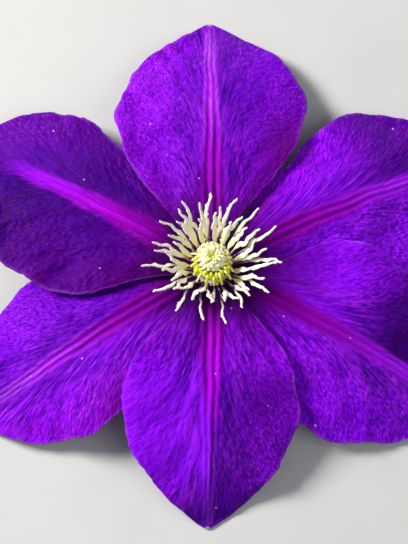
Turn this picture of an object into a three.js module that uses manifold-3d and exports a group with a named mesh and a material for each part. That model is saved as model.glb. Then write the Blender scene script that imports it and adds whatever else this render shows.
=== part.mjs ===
// A large-flowered climbing clematis flower, picked with a short stalk and laid face up on a table.
// Six broad tepals arch out from the top of the stalk and rest on their tips, each lying over or under
// its neighbours. Cream stamens stand out round a boss of yellow ones, with a tuft of styles inside.
// Millimetres, +Z up, the surface is z = 0. The origin is below the middle of the flower's box.

import * as THREE from 'three';
import { mergeVertices } from 'three/addons/utils/BufferGeometryUtils.js';
import Module from 'manifold-3d';

const wasm = await Module();
wasm.setup();

// ---------------------------------------------------------------- driving dimensions

const AXIS = new THREE.Vector2(-1.4, -4.1);  // the flower's axis: its bottom tepal is the shortest

const SEAT_GAP = 0.3;          // left between pieces that touch in the real flower
const TEPAL_THICKNESS = 0.75;  // measured upright
const TEPAL_LIFT = 0.8;        // an upper tepal's flank lies this far above the common surface
const CLAW_RADIUS = 5.1;       // where a tepal's narrow claw starts
const CLAW_HALF_WIDTH = 1.7;   // what the claw has beside the first of the blade
const MARGIN_SWELL = 0.02;     // share of the half width by which the margin waves in and out
const MARGIN_PITCH = 15;       // from one crest of it to the next
const CENTRE_HEIGHT = 14.0;    // middle surface of the tepals at the flower's axis
const FIRST_RISE = 12.2;       // the arch along a tepal: rises first,
const DROOP = 26.4;            // then falls away to the tip

const RECEPTACLE_RADIUS = CLAW_RADIUS - SEAT_GAP;
const RECEPTACLE_TOP = 15.4;
const RING_BASE = RECEPTACLE_TOP + SEAT_GAP;
const RING_TOP = RING_BASE + 1.0;
const ROOT_HEIGHT = RING_BASE + 0.4;   // the stamens' roots are sunk this low into their ring

const STALK_RADIUS = 1.25;
const STALK_BEND = 7.8;        // radius of the bend from upright to lying
const STALK_END = -34;         // the cut end, along Y

// Each tepal seen outwards from the axis. Each side has its greatest half width, where along the length it
// is widest, how full it is near the claw, where its wavy margin has a crest, how far the margin curls
// up, whether the side lies over (+1) or under (-1) the next tepal, and how far it is tucked under it.
const TEPALS = [
  { name: 'tepal_top', direction: 89.6, length: 75, bend: 1.2,
    left: { width: 25.6, widest: 0.58, full: 1.0, crest: 0.80, curl: 0.5, layer: 1, tuck: 0 },
    right: { width: 25.8, widest: 0.635, full: 1.0, crest: 0.86, curl: 0.9, layer: 1, tuck: 0 } },
  { name: 'tepal_upper_right', direction: 26.6, length: 78.5, bend: -0.8,
    left: { width: 25.6, widest: 0.66, full: 1.0, crest: 0.69, curl: 0, layer: -1, tuck: 4 },
    right: { width: 24.0, widest: 0.60, full: 0.55, crest: 0.75, curl: 0, layer: -1, tuck: 1.5 } },
  { name: 'tepal_lower_right', direction: -27.6, length: 76.5, bend: -0.2,
    left: { width: 25.0, widest: 0.50, full: 0.2, crest: 0.47, curl: 1.3, layer: 1, tuck: 0 },
    right: { width: 25.4, widest: 0.53, full: 0.55, crest: 0.62, curl: 0, layer: -1, tuck: 3.5 } },
  { name: 'tepal_bottom', direction: -90.0, length: 66.8, bend: -1.2,
    left: { width: 22.9, widest: 0.55, full: 0.8, crest: 0.58, curl: 0.6, layer: 1, tuck: 0 },
    right: { width: 22.8, widest: 0.55, full: 0.55, crest: 0.72, curl: 1.7, layer: 1, tuck: 0 } },
  { name: 'tepal_lower_left', direction: -149.6, length: 74.5, bend: 0.4,
    left: { width: 21.3, widest: 0.60, full: 0.8, crest: 0.66, curl: 0, layer: -1, tuck: 4 },
    right: { width: 21.8, widest: 0.57, full: 0.55, crest: 0.78, curl: 0, layer: -1, tuck: 3 } },
  { name: 'tepal_upper_left', direction: 150.3, length: 78.3, bend: -0.4,
    left: { width: 26.6, widest: 0.50, full: 0.6, crest: 0.44, curl: 1.0, layer: 1, tuck: 0 },
    right: { width: 21.6, widest: 0.66, full: 1.0, crest: 0.64, curl: 0, layer: -1, tuck: 4 } },
];

// Between two midribs the tepals share a fold: its direction, how deep the valley (-) or high the
// ridge (+) is, and the ripple that runs along the flanks.
const FOLDS = [
  { direction: 58.0, depth: -3.8, ripple: 0.55, pitch: 17, phase: 0.6 },
  { direction: -0.5, depth: -1.2, ripple: 0.45, pitch: 21, phase: 2.4 },
  { direction: -59.0, depth: -2.4, ripple: 0.50, pitch: 19, phase: 4.0 },
  { direction: -120.0, depth: 1.5, ripple: 0.55, pitch: 18, phase: 1.2 },
  { direction: 180.2, depth: -0.9, ripple: 0.45, pitch: 20, phase: 5.2 },
  { direction: 120.0, depth: -2.2, ripple: 0.55, pitch: 16, phase: 3.1 },
];

const TEPAL_ROWS = 30;
// Lines along a blade, from its right margin to its left. Each lies a share of the half width plus a
// number of rib gaps from the midrib: three ribs with two grooves between them run down the middle.
const TEPAL_LINES = [[-1, 0], [-0.7, 0], [-0.38, 0], [0, -1], [0, -0.5], [0, 0], [0, 0.5], [0, 1],
  [0.38, 0], [0.7, 0], [1, 0]];
const RIB_GAP = 2.3;           // from the middle rib to each side rib, half way out
const RIB_HEIGHT = 0.42;

const COLOURS = {
  stalk: 0x6f7f3a, tepal: 0x5a1fb4, outer: 0xf0ecd2, inner: 0xcfc75a, pistils: 0xe9e6b4,
};

// ---------------------------------------------------------------- small helpers

const radians = THREE.MathUtils.degToRad;
const { clamp, smoothstep, lerp } = THREE.MathUtils;

// A seeded draw between -1 and 1 (Lehmer generator), the same on every run.
function drawFrom(seed) {
  let state = seed;
  return () => {
    state = (state * 16807) % 2147483647;
    return (state / 2147483647) * 2 - 1;
  };
}

// Signed turn in degrees from one direction to another, within half a turn.
function turn(from, to) {
  return ((to - from + 540) % 360 + 360) % 360 - 180;
}

function closedGeometry(points, triangles) {
  const geometry = new THREE.BufferGeometry();
  geometry.setAttribute('position', new THREE.Float32BufferAttribute(points.flat(), 3));
  geometry.setIndex(triangles.flat());
  return geometry;
}

function toSolid(geometry) {
  const bare = new THREE.BufferGeometry();
  bare.setAttribute('position', geometry.getAttribute('position'));
  bare.setIndex(geometry.getIndex());
  const merged = mergeVertices(bare, 1e-4);
  return new wasm.Manifold(new wasm.Mesh({
    numProp: 3,
    vertProperties: new Float32Array(merged.getAttribute('position').array),
    triVerts: new Uint32Array(merged.getIndex().array),
  }));
}

function joined(geometries) {
  const solid = geometries.map(toSolid).reduce((whole, piece) => whole.add(piece));
  const mesh = solid.getMesh();
  const geometry = new THREE.BufferGeometry();
  geometry.setAttribute('position', new THREE.BufferAttribute(mesh.vertProperties, 3));
  geometry.setIndex(new THREE.BufferAttribute(mesh.triVerts, 1));
  return geometry;
}

// A closed skin through rings of the same number of points, given counter-clockwise seen from ahead.
function loft(rings) {
  const sides = rings[0].length;
  const points = rings.flat();
  const triangles = [];
  for (let ring = 0; ring < rings.length - 1; ring += 1) {
    for (let side = 0; side < sides; side += 1) {
      const a = ring * sides + side;
      const b = ring * sides + (side + 1) % sides;
      triangles.push([a, b, b + sides], [a, b + sides, a + sides]);
    }
  }
  const last = (rings.length - 1) * sides;
  for (let side = 1; side < sides - 1; side += 1) {
    triangles.push([0, side + 1, side], [last, last + side, last + side + 1]);
  }
  return closedGeometry(points, triangles);
}

// A flat ring or a disc turned about the axis from a closed half section of [radius, height] points.
function turned(profile, segments) {
  return new THREE.LatheGeometry(profile.map(([r, z]) => new THREE.Vector2(r, z)), segments)
    .rotateX(Math.PI / 2);
}

function ringSolid(innerRadius, outerRadius, segments) {
  return turned([
    [innerRadius, RING_BASE], [outerRadius, RING_BASE], [outerRadius, RING_TOP],
    [innerRadius, RING_TOP], [innerRadius, RING_BASE],
  ], segments);
}

// ---------------------------------------------------------------- tepals

// Half width along the length: a narrow claw, a broad blade with a wavy margin and a short point.
function halfWidth(along, length, { width, widest, full, crest, tuck }) {
  const rise = (along / widest) ** (widest / (1 - widest));
  const blade = (rise * (1 - along) / (1 - widest)) ** 0.95;
  const waist = lerp(full, 1, smoothstep(along, 0.05, 0.36));
  const swell = MARGIN_SWELL * smoothstep(along, 0.35, 0.5) * (1 - smoothstep(along, 0.9, 1));
  const wave = 1 + swell * Math.cos((along - crest) * length * 2 * Math.PI / MARGIN_PITCH);
  const tucked = tuck * smoothstep(along, 0.06, 0.2) * (1 - smoothstep(along, 0.3, 0.43));
  return width * blade * waist * wave + tucked + CLAW_HALF_WIDTH * (1 - smoothstep(along, 0.04, 0.2));
}

// The ribs draw together towards the claw and towards the tip.
function ribGap(along, width) {
  return Math.min(RIB_GAP * (1 - 0.55 * smoothstep(along, 0.35, 0.97)), 0.3 * width + 0.01);
}

// How far the tepals reach in a direction, which sets where their arch comes down to the surface.
function reach(direction) {
  const fromBottom = radians(direction + 90);
  return 73.0 - 4.1 * Math.cos(fromBottom) - 4.0 * Math.cos(2 * fromBottom);
}

// Height of the surface that all tepals share, at a radius and a direction.
function commonHeight(radius, direction) {
  const share = radius / reach(direction);
  let height = CENTRE_HEIGHT + FIRST_RISE * share - DROOP * share * share;
  for (const fold of FOLDS) {
    const across = clamp(Math.abs(turn(fold.direction, direction)) / 29, 0, 1);
    const weight = Math.cos(across * Math.PI / 2) ** 2;
    const valley = fold.depth * smoothstep(radius, 8, 34) * (1 - 0.55 * smoothstep(radius, 45, 75));
    const ripple = fold.ripple * smoothstep(radius, 18, 40)
      * Math.sin(radius * 2 * Math.PI / fold.pitch + fold.phase);
    height += weight * (valley + ripple);
  }
  return height;
}

// The ribs' height above the blade, at an offset from the midrib. They fade out before the tip.
function ribs(offset, gap, along) {
  const fade = smoothstep(along, 0.08, 0.2) * (1 - smoothstep(along, 0.8, 0.97));
  return RIB_HEIGHT * fade * Math.cos(offset * 2 * Math.PI / gap) * Math.exp(-((offset / (1.25 * gap)) ** 2));
}

function tepalPoint(tepal, along, [share, gaps], face) {
  const side = share + gaps >= 0 ? tepal.left : tepal.right;
  const width = halfWidth(along, tepal.length, side);
  const gap = ribGap(along, width);
  const offset = share * width + gaps * gap;
  const across = share + (width > 0 ? gaps * gap / width : 0);
  const heading = radians(tepal.direction);
  const outward = along * tepal.length;
  const sideways = offset + tepal.bend * along * along;
  const x = Math.cos(heading) * outward - Math.sin(heading) * sideways;
  const y = Math.sin(heading) * outward + Math.cos(heading) * sideways;
  const radius = Math.hypot(x, y);
  const direction = THREE.MathUtils.radToDeg(Math.atan2(y, x));
  const offMidrib = Math.abs(turn(tepal.direction, direction));
  const freeEdge = smoothstep(radius, 52, 64) * smoothstep(Math.abs(across), 0.45, 1);
  const edgeWave = 0.9 * freeEdge * Math.sin(along * 26 + across * 2 + tepal.direction);
  const curl = side.curl * smoothstep(Math.abs(across), 0.55, 1) * smoothstep(along, 0.2, 0.4)
    * (1 - smoothstep(along, 0.78, 0.95));
  const height = commonHeight(radius, direction) + ribs(offset, gap, along) + edgeWave + curl
    + side.layer * TEPAL_LIFT * smoothstep(offMidrib, 5, 20);
  const middle = Math.max(height, TEPAL_THICKNESS / 2);
  return [x, y, middle + face * TEPAL_THICKNESS / 2];
}

// One closed blade: a grid of rows on the upper face and the same grid below, split alike, which come
// together in a single upright edge at the tip.
function tepalGeometry(tepal) {
  const lines = TEPAL_LINES.length;
  const start = CLAW_RADIUS / tepal.length;
  const points = [];
  for (const face of [1, -1]) {
    for (let row = 0; row < TEPAL_ROWS; row += 1) {
      const along = lerp(start, 1, (row / TEPAL_ROWS) ** 0.92);
      TEPAL_LINES.forEach((line) => points.push(tepalPoint(tepal, along, line, face)));
    }
    points.push(tepalPoint(tepal, 1, [0, 0], face));
  }
  const below = TEPAL_ROWS * lines + 1;
  const tip = below - 1;
  const triangles = [];
  const bothFaces = (a, b, c) => triangles.push([a, b, c], [a + below, c + below, b + below]);
  for (let row = 0; row < TEPAL_ROWS; row += 1) {
    for (let line = 0; line < lines - 1; line += 1) {
      const a = row * lines + line;
      if (row === TEPAL_ROWS - 1) {
        bothFaces(a, tip, a + 1);
      } else if (line < (lines - 1) / 2) {
        bothFaces(a, a + lines, a + 1);
        bothFaces(a + 1, a + lines, a + lines + 1);
      } else {
        bothFaces(a, a + lines + 1, a + 1);
        bothFaces(a, a + lines, a + lines + 1);
      }
    }
  }
  const edge = (a, b) => triangles.push([a, b, b + below], [a, b + below, a + below]);
  for (let line = 0; line < lines - 1; line += 1) edge(line, line + 1);
  for (let row = 0; row < TEPAL_ROWS; row += 1) {
    const right = row * lines;
    const left = right + lines - 1;
    const last = row === TEPAL_ROWS - 1;
    edge(last ? tip : right + lines, right);
    edge(left, last ? tip : left + lines);
  }
  return closedGeometry(points, triangles);
}

// ---------------------------------------------------------------- stalk and receptacle

// Upright under the flower, then bent over to lie on the surface on one flat side of its section.
function stalkGeometry() {
  const sides = 8;
  const apothem = STALK_RADIUS * Math.cos(Math.PI / sides);
  const upright = new THREE.LineCurve3(new THREE.Vector3(0, 0, 13.4),
    new THREE.Vector3(0, 0, STALK_BEND + apothem));
  const stations = [upright.getPoint(0), upright.getPoint(0.5)];
  const turns = 9;
  for (let step = 0; step <= turns; step += 1) {
    const angle = step / turns * Math.PI / 2;
    stations.push(new THREE.Vector3(0, -STALK_BEND * (1 - Math.cos(angle)),
      STALK_BEND * (1 - Math.sin(angle)) + apothem));
  }
  stations.push(new THREE.Vector3(0, -22, apothem), new THREE.Vector3(0, STALK_END, apothem));
  const rings = stations.map((station, index) => {
    const before = stations[Math.max(index - 1, 0)];
    const after = stations[Math.min(index + 1, stations.length - 1)];
    const ahead = after.clone().sub(before).normalize();
    const side = new THREE.Vector3(1, 0, 0);
    const up = side.clone().cross(ahead);
    const cut = index === stations.length - 1 ? 0.9 : 0;
    return Array.from({ length: sides }, (_, corner) => {
      const angle = (corner + 0.5) / sides * 2 * Math.PI;
      const point = station.clone()
        .addScaledVector(side, STALK_RADIUS * Math.sin(angle))
        .addScaledVector(up, STALK_RADIUS * Math.cos(angle))
        .addScaledVector(ahead, cut * STALK_RADIUS * Math.cos(angle));
      return [point.x, point.y, Math.max(point.z, 0)];
    });
  });
  const receptacle = turned([
    [0, 11.0], [1.3, 11.0], [2.4, 12.0], [3.9, 12.7], [RECEPTACLE_RADIUS, 13.2],
    [RECEPTACLE_RADIUS, RECEPTACLE_TOP], [0, RECEPTACLE_TOP],
  ], 24);
  return joined([receptacle, loft(rings)]);
}

// ---------------------------------------------------------------- stamens and styles

// A flat strip of four-sided sections along a path that is given from its root to its tip. Each station
// has its distance from the axis, height, sideways shift, width, thickness and twist in degrees.
function strip(direction, stations) {
  const heading = radians(direction);
  const outward = new THREE.Vector3(Math.cos(heading), Math.sin(heading), 0);
  const left = new THREE.Vector3(-Math.sin(heading), Math.cos(heading), 0);
  const centres = stations.map(({ radius, height, shift }) => outward.clone().multiplyScalar(radius)
    .addScaledVector(left, shift).setZ(height));
  const rings = stations.map(({ width, thickness, twist }, index) => {
    const ahead = centres[Math.min(index + 1, centres.length - 1)].clone()
      .sub(centres[Math.max(index - 1, 0)]).normalize();
    const side = left.clone().applyAxisAngle(ahead, radians(twist));
    const back = side.clone().cross(ahead).normalize();
    side.crossVectors(ahead, back);
    return [[-1, -1], [-1, 1], [1, 1], [1, -1]].map(([a, b]) => centres[index].clone()
      .addScaledVector(side, a * width / 2)
      .addScaledVector(back, b * thickness / 2).toArray());
  });
  return loft(rings);
}

// 1 for a stamen on the stalk's side of the flower, 0 for one on the other side.
const towardStalk = (direction) => 0.5 - 0.5 * Math.sin(radians(direction));

// Spreading stamens in three whorls: a thin filament, a broad crooked anther and a fine tip. On the
// stalk's side they lie lower.
function outerStamens() {
  const draw = drawFrom(4127);
  const count = 46;
  const whorls = [
    { root: 4.75, reach: 12.8, rise: 9.4, anther: 0.34, breadth: 1.25 },
    { root: 4.7, reach: 9.4, rise: 10.0, anther: 0.22, breadth: 1.5 },
    { root: 4.7, reach: 7.2, rise: 9.2, anther: 0.14, breadth: 1.6 },
  ];
  const pieces = [ringSolid(4.3, 5.1, 32)];
  for (let index = 0; index < count; index += 1) {
    const whorl = whorls[index % 3];
    const direction = index * 360 / count + 1.9 * draw();
    const lower = towardStalk(direction);
    const reachOut = (whorl.reach + 1.6 * draw()) * (1 - 0.08 * lower);
    const rise = (whorl.rise + 1.1 * draw()) * (1 - 0.36 * lower);
    const sway = 0.85 * draw();
    const kink = 1.0 * draw();
    const twist = 32 * draw();
    const broad = whorl.anther + 0.16;
    const sections = [[0, 0.75, 0], [whorl.anther, 0.75, 0.1], [broad, whorl.breadth, 0.6],
      [lerp(broad, 1, 0.35), 0.92 * whorl.breadth, 1], [lerp(broad, 1, 0.7), 0.72 * whorl.breadth, 0.6],
      [1, 0.62, 0.2]];
    pieces.push(strip(direction, sections.map(([share, width, turnShare]) => ({
      radius: whorl.root + reachOut * share,
      height: ROOT_HEIGHT + rise * (1.28 * share - 0.28 * share * share),
      shift: sway * Math.sin(share * 4.2) + kink * smoothstep(share, 0.7, 1),
      width,
      thickness: 0.66,
      twist: twist * turnShare,
    }))));
  }
  return joined(pieces);
}

// Young yellow stamens, close together in two tiers: each rises beside the styles and arches outwards,
// and on the stalk's side they hang over. An arch is part of an ellipse, its tip at the last angle.
function innerStamens() {
  const draw = drawFrom(929);
  const count = 40;
  const tiers = [{ rise: 7.0, spread: 1.2, hang: 0.85 }, { rise: 7.4, spread: 0.8, hang: 0.55 }];
  const pieces = [ringSolid(2.5, 3.7, 24)];
  for (let index = 0; index < count; index += 1) {
    const tier = tiers[index % 2];
    const direction = (index + 0.5) * 360 / count + 1.2 * draw();
    const lower = towardStalk(direction);
    const rise = tier.rise + 0.2 * draw();
    const spread = tier.spread + tier.hang * lower;
    const tipAngle = 100 + 41 * lower + 4 * draw();
    const sections = [[0, 0.62], [0.42, 0.66], [0.66, 0.75], [0.87, 0.75], [1, 0.6]];
    pieces.push(strip(direction, sections.map(([share, width]) => ({
      radius: 3.1 + spread * (1 - Math.cos(radians(share * tipAngle))),
      height: ROOT_HEIGHT + rise * Math.sin(radians(share * tipAngle)),
      shift: 0,
      width,
      thickness: 0.66,
      twist: 0,
    }))));
  }
  return joined(pieces);
}

// A tuft of pale styles that rise from the seed heads, spread at the top and leave a hollow between them.
function pistils() {
  const draw = drawFrom(5309);
  const seedHeads = [[0, RING_BASE], [2.0, RING_BASE], [2.0, 18.5], [2.5, 21.0], [2.4, 22.8], [0, 23.2]];
  const pieces = [turned(seedHeads, 16)];
  const rounds = [[16, 1.9, 3.3, 24.3], [10, 1.45, 2.4, 25.0], [5, 0.8, 1.2, 24.7]];
  for (const [count, rootRadius, tipRadius, top] of rounds) {
    for (let index = 0; index < count; index += 1) {
      const direction = (index + 0.3 * draw()) * 360 / count;
      const tip = top + 0.3 * draw();
      const sections = [[0, 0, 0.7], [0.25, 0.4, 0.75], [0.65, 0.78, 0.8], [1, 1, 0.75]];
      pieces.push(strip(direction, sections.map(([out, up, width]) => ({
        radius: lerp(rootRadius, tipRadius, out),
        height: lerp(20.6, tip, up),
        shift: 0,
        width,
        thickness: 0.64,
        twist: 0,
      }))));
    }
  }
  return joined(pieces);
}

// ---------------------------------------------------------------- the flower

const flower = new THREE.Group();
flower.position.set(AXIS.x, AXIS.y, 0);

function addPiece(name, geometry, color, roughness) {
  const mesh = new THREE.Mesh(geometry, new THREE.MeshStandardMaterial({ color, roughness, metalness: 0 }));
  mesh.name = name;
  flower.add(mesh);
}

addPiece('stalk', stalkGeometry(), COLOURS.stalk, 0.7);
TEPALS.forEach((tepal) => addPiece(tepal.name, tepalGeometry(tepal), COLOURS.tepal, 0.6));
addPiece('stamens_outer', outerStamens(), COLOURS.outer, 0.75);
addPiece('stamens_inner', innerStamens(), COLOURS.inner, 0.75);
addPiece('pistils', pistils(), COLOURS.pistils, 0.7);

export default flower;
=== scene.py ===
# A large-flowered clematis, picked with a short stalk and laid face up on a table: six violet tepals,
# cream stamens round a boss of yellow ones, and a tuft of pale styles in the middle.
import math

import bpy
import numpy as np
from mathutils import Matrix, Vector


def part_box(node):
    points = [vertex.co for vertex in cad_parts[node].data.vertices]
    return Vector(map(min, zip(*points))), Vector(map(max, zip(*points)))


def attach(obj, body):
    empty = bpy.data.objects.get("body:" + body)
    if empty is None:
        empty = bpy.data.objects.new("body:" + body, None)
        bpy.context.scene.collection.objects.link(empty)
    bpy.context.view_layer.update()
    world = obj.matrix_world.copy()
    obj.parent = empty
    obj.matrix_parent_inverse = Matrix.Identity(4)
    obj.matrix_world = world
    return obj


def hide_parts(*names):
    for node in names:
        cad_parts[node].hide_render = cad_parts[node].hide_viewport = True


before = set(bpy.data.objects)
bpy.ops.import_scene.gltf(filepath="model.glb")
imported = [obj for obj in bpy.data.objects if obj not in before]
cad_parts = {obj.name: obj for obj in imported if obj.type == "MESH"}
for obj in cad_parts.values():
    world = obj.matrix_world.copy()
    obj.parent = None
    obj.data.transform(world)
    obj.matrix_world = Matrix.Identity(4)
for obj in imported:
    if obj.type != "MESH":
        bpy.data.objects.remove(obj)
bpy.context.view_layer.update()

MM = 0.001

# ------------------------------------------------------------------------------------- camera
# The eye looks down into the flower from the side of its bottom tepal, 17 degrees off upright,
# from 0.6 m, and the middle of the flower sits a little right of and above the middle of the view.
EYE_DISTANCE = 0.6             # metres
LEAN = math.radians(17)
FLOWER_HEIGHT = 14.0           # of the middle of the flower above the table
RIGHT_OF_MIDDLE = 2.1
ABOVE_MIDDLE = 1.05

stalk_low, stalk_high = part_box("stalk")
receptacle_radius = (stalk_high.x - stalk_low.x) / 2
axis = Vector(((stalk_low.x + stalk_high.x) / 2, stalk_high.y - receptacle_radius, 0))
flower_middle = axis + Vector((0, 0, FLOWER_HEIGHT * MM))

away = Vector((0, -math.sin(LEAN), math.cos(LEAN)))
up_in_view = Vector((0, math.cos(LEAN), math.sin(LEAN)))
aim = flower_middle - Vector((RIGHT_OF_MIDDLE * MM, 0, 0)) - up_in_view * ABOVE_MIDDLE * MM
bpy.ops.object.camera_add(location=aim + away * EYE_DISTANCE, rotation=(LEAN, 0, 0))
camera = bpy.context.object
camera.name = "camera"
camera.data.lens = 151.6
bpy.context.scene.camera = camera
bpy.context.scene.view_settings.view_transform = "Standard"

# ------------------------------------------------------------------------------------- table and light
# A pale matt table top. A soft window-sized light stands up and to the left, a weaker one fills in
# from the right, and a bright room gives the rest.


def add_node(tree, kind, settings=(), **sockets):
    """A shader node with its settings; sockets take a value or another node's output."""
    made = tree.nodes.new(kind)
    for setting, value in dict(settings).items():
        setattr(made, setting, value)
    for name, value in sockets.items():
        socket = made.inputs[name.replace("_", " ")]
        if isinstance(value, bpy.types.NodeSocket):
            tree.links.new(value, socket)
        else:
            socket.default_value = value
    return made


def new_material(name, roughness, specular=0.3):
    """An opaque material and its Principled shader, to which colour and relief are still to be linked."""
    material = bpy.data.materials.new(name)
    material.use_nodes = True
    shader = material.node_tree.nodes["Principled BSDF"]
    shader.inputs["Roughness"].default_value = roughness
    shader.inputs["Specular IOR Level"].default_value = specular
    return material, material.node_tree, shader


def blend_colour(tree, base, colour, amount):
    """base with colour laid over it where amount is near 1; each may be a value or a node's output."""
    mix = tree.nodes.new("ShaderNodeMix")
    mix.data_type = "RGBA"
    for index, value in ((0, amount), (6, base), (7, colour)):
        if isinstance(value, bpy.types.NodeSocket):
            tree.links.new(value, mix.inputs[index])
        else:
            mix.inputs[index].default_value = value if index == 0 else (*value, 1)
    return mix.outputs[2]


def object_place(tree):
    return tree.nodes.new("ShaderNodeTexCoord").outputs["Object"]


def add_noise(tree, scale, detail=2.0):
    """Noise that runs through the whole piece, as a node's output."""
    noise = add_node(tree, "ShaderNodeTexNoise", Vector=object_place(tree), Scale=scale, Detail=detail)
    return noise.outputs["Fac"]


def add_relief(tree, shader, height, strength, distance):
    relief = add_node(tree, "ShaderNodeBump", Height=height, Strength=strength, Distance=distance)
    tree.links.new(relief.outputs["Normal"], shader.inputs["Normal"])


TABLE_CLEARANCE = 0.1          # below the flower's lowest points

bpy.ops.mesh.primitive_plane_add(size=4, location=(0, 0, -TABLE_CLEARANCE * MM))
table_top = bpy.context.object
table_top.name = "table_top"
table_finish, tree, shader = new_material("pale matt table", roughness=0.9, specular=0.1)
mottled = blend_colour(tree, (0.60, 0.60, 0.59), (0.66, 0.66, 0.65), add_noise(tree, 60.0, 4.0))
tree.links.new(mottled, shader.inputs["Base Color"])
table_top.data.materials.append(table_finish)


def add_window(name, place, size, watts, colour):
    """A square area light that faces the flower."""
    facing = (flower_middle - Vector(place)).to_track_quat("-Z", "Y").to_euler()
    bpy.ops.object.light_add(type="AREA", location=place, rotation=facing)
    light = bpy.context.object
    light.name = name
    light.data.size = size
    light.data.energy = watts
    light.data.color = colour


add_window("window", (-0.62, 0.25, 0.5), size=0.3, watts=10.5, colour=(1.0, 0.98, 0.95))
add_window("fill", (0.6, -0.4, 0.7), size=0.8, watts=2.6, colour=(0.92, 0.95, 1.0))

room = bpy.data.worlds.new("bright room")
room.use_nodes = True
room.node_tree.nodes["Background"].inputs["Color"].default_value = (0.92, 0.94, 1.0, 1)
room.node_tree.nodes["Background"].inputs["Strength"].default_value = 0.22
bpy.context.scene.world = room

# ------------------------------------------------------------------------------------- tepals
# Six broad, thin blades in one ring, each over or under its neighbours, narrowed to a claw at the
# foot and to a short point at the tip. Three ribs run down a magenta bar; the skin between the ribs
# and the crimped margin is finely wrinkled. Each is one grid, drawn to the blade's form and thickened.
BLADE_THICKNESS = 0.5
SOLID_THICKNESS = 0.75         # of the plain solid that a blade stands for
TEPAL_LIFT = 0.8               # an upper tepal's flank lies this far above the common surface
CLAW_RADIUS = 5.1
CLAW_HALF_WIDTH = 1.7
MARGIN_SWELL = 0.02            # of the width
MARGIN_PITCH = 15
CENTRE_HEIGHT = 14.0           # of the common surface
FIRST_RISE = 12.2
DROOP = 26.4                   # towards the tips
BLADE_ROWS = 222
BLADE_LINES = 154
TIP_CUT = 0.004                # share of the length left off, so that the last row keeps a width
TOOTH = 0.22                   # the margin's small uneven teeth
RUFFLE = 0.2                   # its longer waves, in and out
RUFFLE_RISE = 0.4              # and up and down
RIB_RISE = 0.36
RIB_SWAY = 0.35
EDGE_WAVE = 0.9                # of the free part beyond the neighbours
COVERED_DROP = 0.3             # how much deeper a covered flank lies
FINE_RISE, COARSE_RISE, PLEAT_RISE = 0.085, 0.05, 0.32
VEIN_RISE = 0.3                # on the back

# Direction of the midrib, length and sideways bend of the tip. Then for the left and the right half:
# half width, where it is widest, how full it is at the claw, a crest of its wavy margin, how far it is
# tucked under its neighbour, its curl, whether it lies over (1) or under (-1) its neighbour, how far
# its wrinkles are combed out, how deep its violet and its painted shade are near the claw and near
# the tip, where less than 0 is a light and smooth patch of painted sheen, and how purple it is towards
# its margin.
TEPALS = {
    "top": (89.6, 75, 1.2, (25.6, 0.58, 1.0, 0.80, 0, 0.5, 1, 0.2, 0.36, 0.17, 0.9),
            (25.8, 0.635, 1.0, 0.86, 0, 0.9, 1, 0.6, 0.35, 0.42, 0.3)),
    "upper_right": (26.6, 78.5, -0.8, (25.6, 0.66, 1.0, 0.69, 4, 0, -1, 1.0, 0.05, 0.85, 0.6),
                    (24.0, 0.60, 0.55, 0.75, 1.5, 0, -1, 0.3, -0.25, 0.15, 0.1)),
    "lower_right": (-27.6, 76.5, -0.2, (25.0, 0.50, 0.2, 0.47, 0, 1.3, 1, 0.8, -0.3, 1.15, 0.3),
                    (25.4, 0.53, 0.55, 0.62, 3.5, 0, -1, 0.6, 0.05, 0.15, 0.0)),
    "bottom": (-90.0, 66.8, -1.2, (22.9, 0.55, 0.8, 0.58, 0, 0.6, 1, 0.6, 0.05, 0.65, 0.5),
               (22.8, 0.55, 0.55, 0.72, 0, 0.8, 1, 0.8, 0.28, -0.7, 0.15)),
    "lower_left": (-149.6, 74.5, 0.4, (21.3, 0.60, 0.8, 0.66, 4, 0, -1, 0.9, 0.12, 0.22, 0.9),
                   (21.8, 0.57, 0.55, 0.78, 3, 0, -1, 0.5, 0.5, 0.33, 0.3)),
    "upper_left": (150.3, 78.3, -0.4, (26.6, 0.50, 0.6, 0.44, 0, 1.0, 1, 0.5, 1.05, 1.2, 1.0),
                   (21.6, 0.66, 1.0, 0.64, 4, 0, -1, 0.8, 1.05, 0.88, 1.0)),
}

# Half width in mm of the magenta bar at the claw and beyond the middle, the share of the length where it
# has faded, how dark the painted shade in its grooves is on the left and the right, how strong the
# painted highlight on its ribs is near the tip, how dark the painted shade in the valley beside the
# neighbour is on the left and the right, how bright a streak beside the middle rib is, where the depth
# near the claw starts to turn into that near the tip, and how dark the painted shade at the tip is.
BARS = {
    "top": (3.2, 2.1, 1.02, 0.4, 0.25, 0.9, 0.0, 0.9, 0.0, 0.5, 0.0),
    "upper_right": (3.4, 2.9, 1.1, 1.0, 1.0, 0.35, 0.0, 0.0, 0.0, 0.5, 0.0),
    "lower_right": (3.4, 2.3, 1.15, 0.7, 0.7, 0.2, 0.0, 0.0, 0.15, 0.43, 0.0),
    "bottom": (3.6, 1.9, 0.8, 0.4, 0.2, 0.1, 0.2, 0.0, 1.0, 0.32, 0.95),
    "lower_left": (3.4, 2.0, 0.95, 0.8, 1.0, 0.7, 0.9, 0.0, 0.0, 0.5, 0.0),
    "upper_left": (3.8, 2.4, 0.95, 0.9, 0.2, 0.0, 0.2, 0.0, 0.7, 0.5, 0.0),
}

# Between two midribs the tepals share a fold: direction, depth, ripple along it, its pitch and phase.
FOLDS = (
    (58.0, -3.8, 0.55, 17, 0.6), (-0.5, -1.2, 0.45, 21, 2.4), (-59.0, -2.4, 0.50, 19, 4.0),
    (-120.0, 1.5, 0.55, 18, 1.2), (180.2, -0.9, 0.45, 20, 5.2), (120.0, -2.2, 0.55, 16, 3.1),
)


def ease(value, low, high):
    """0 below low, 1 above high, and an eased rise between."""
    t = np.clip((value - low) / (high - low), 0, 1)
    return t * t * (3 - 2 * t)


def turn(start, end):
    """Signed turn in degrees from one direction to another."""
    return (end - start + 540) % 360 - 180


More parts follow.
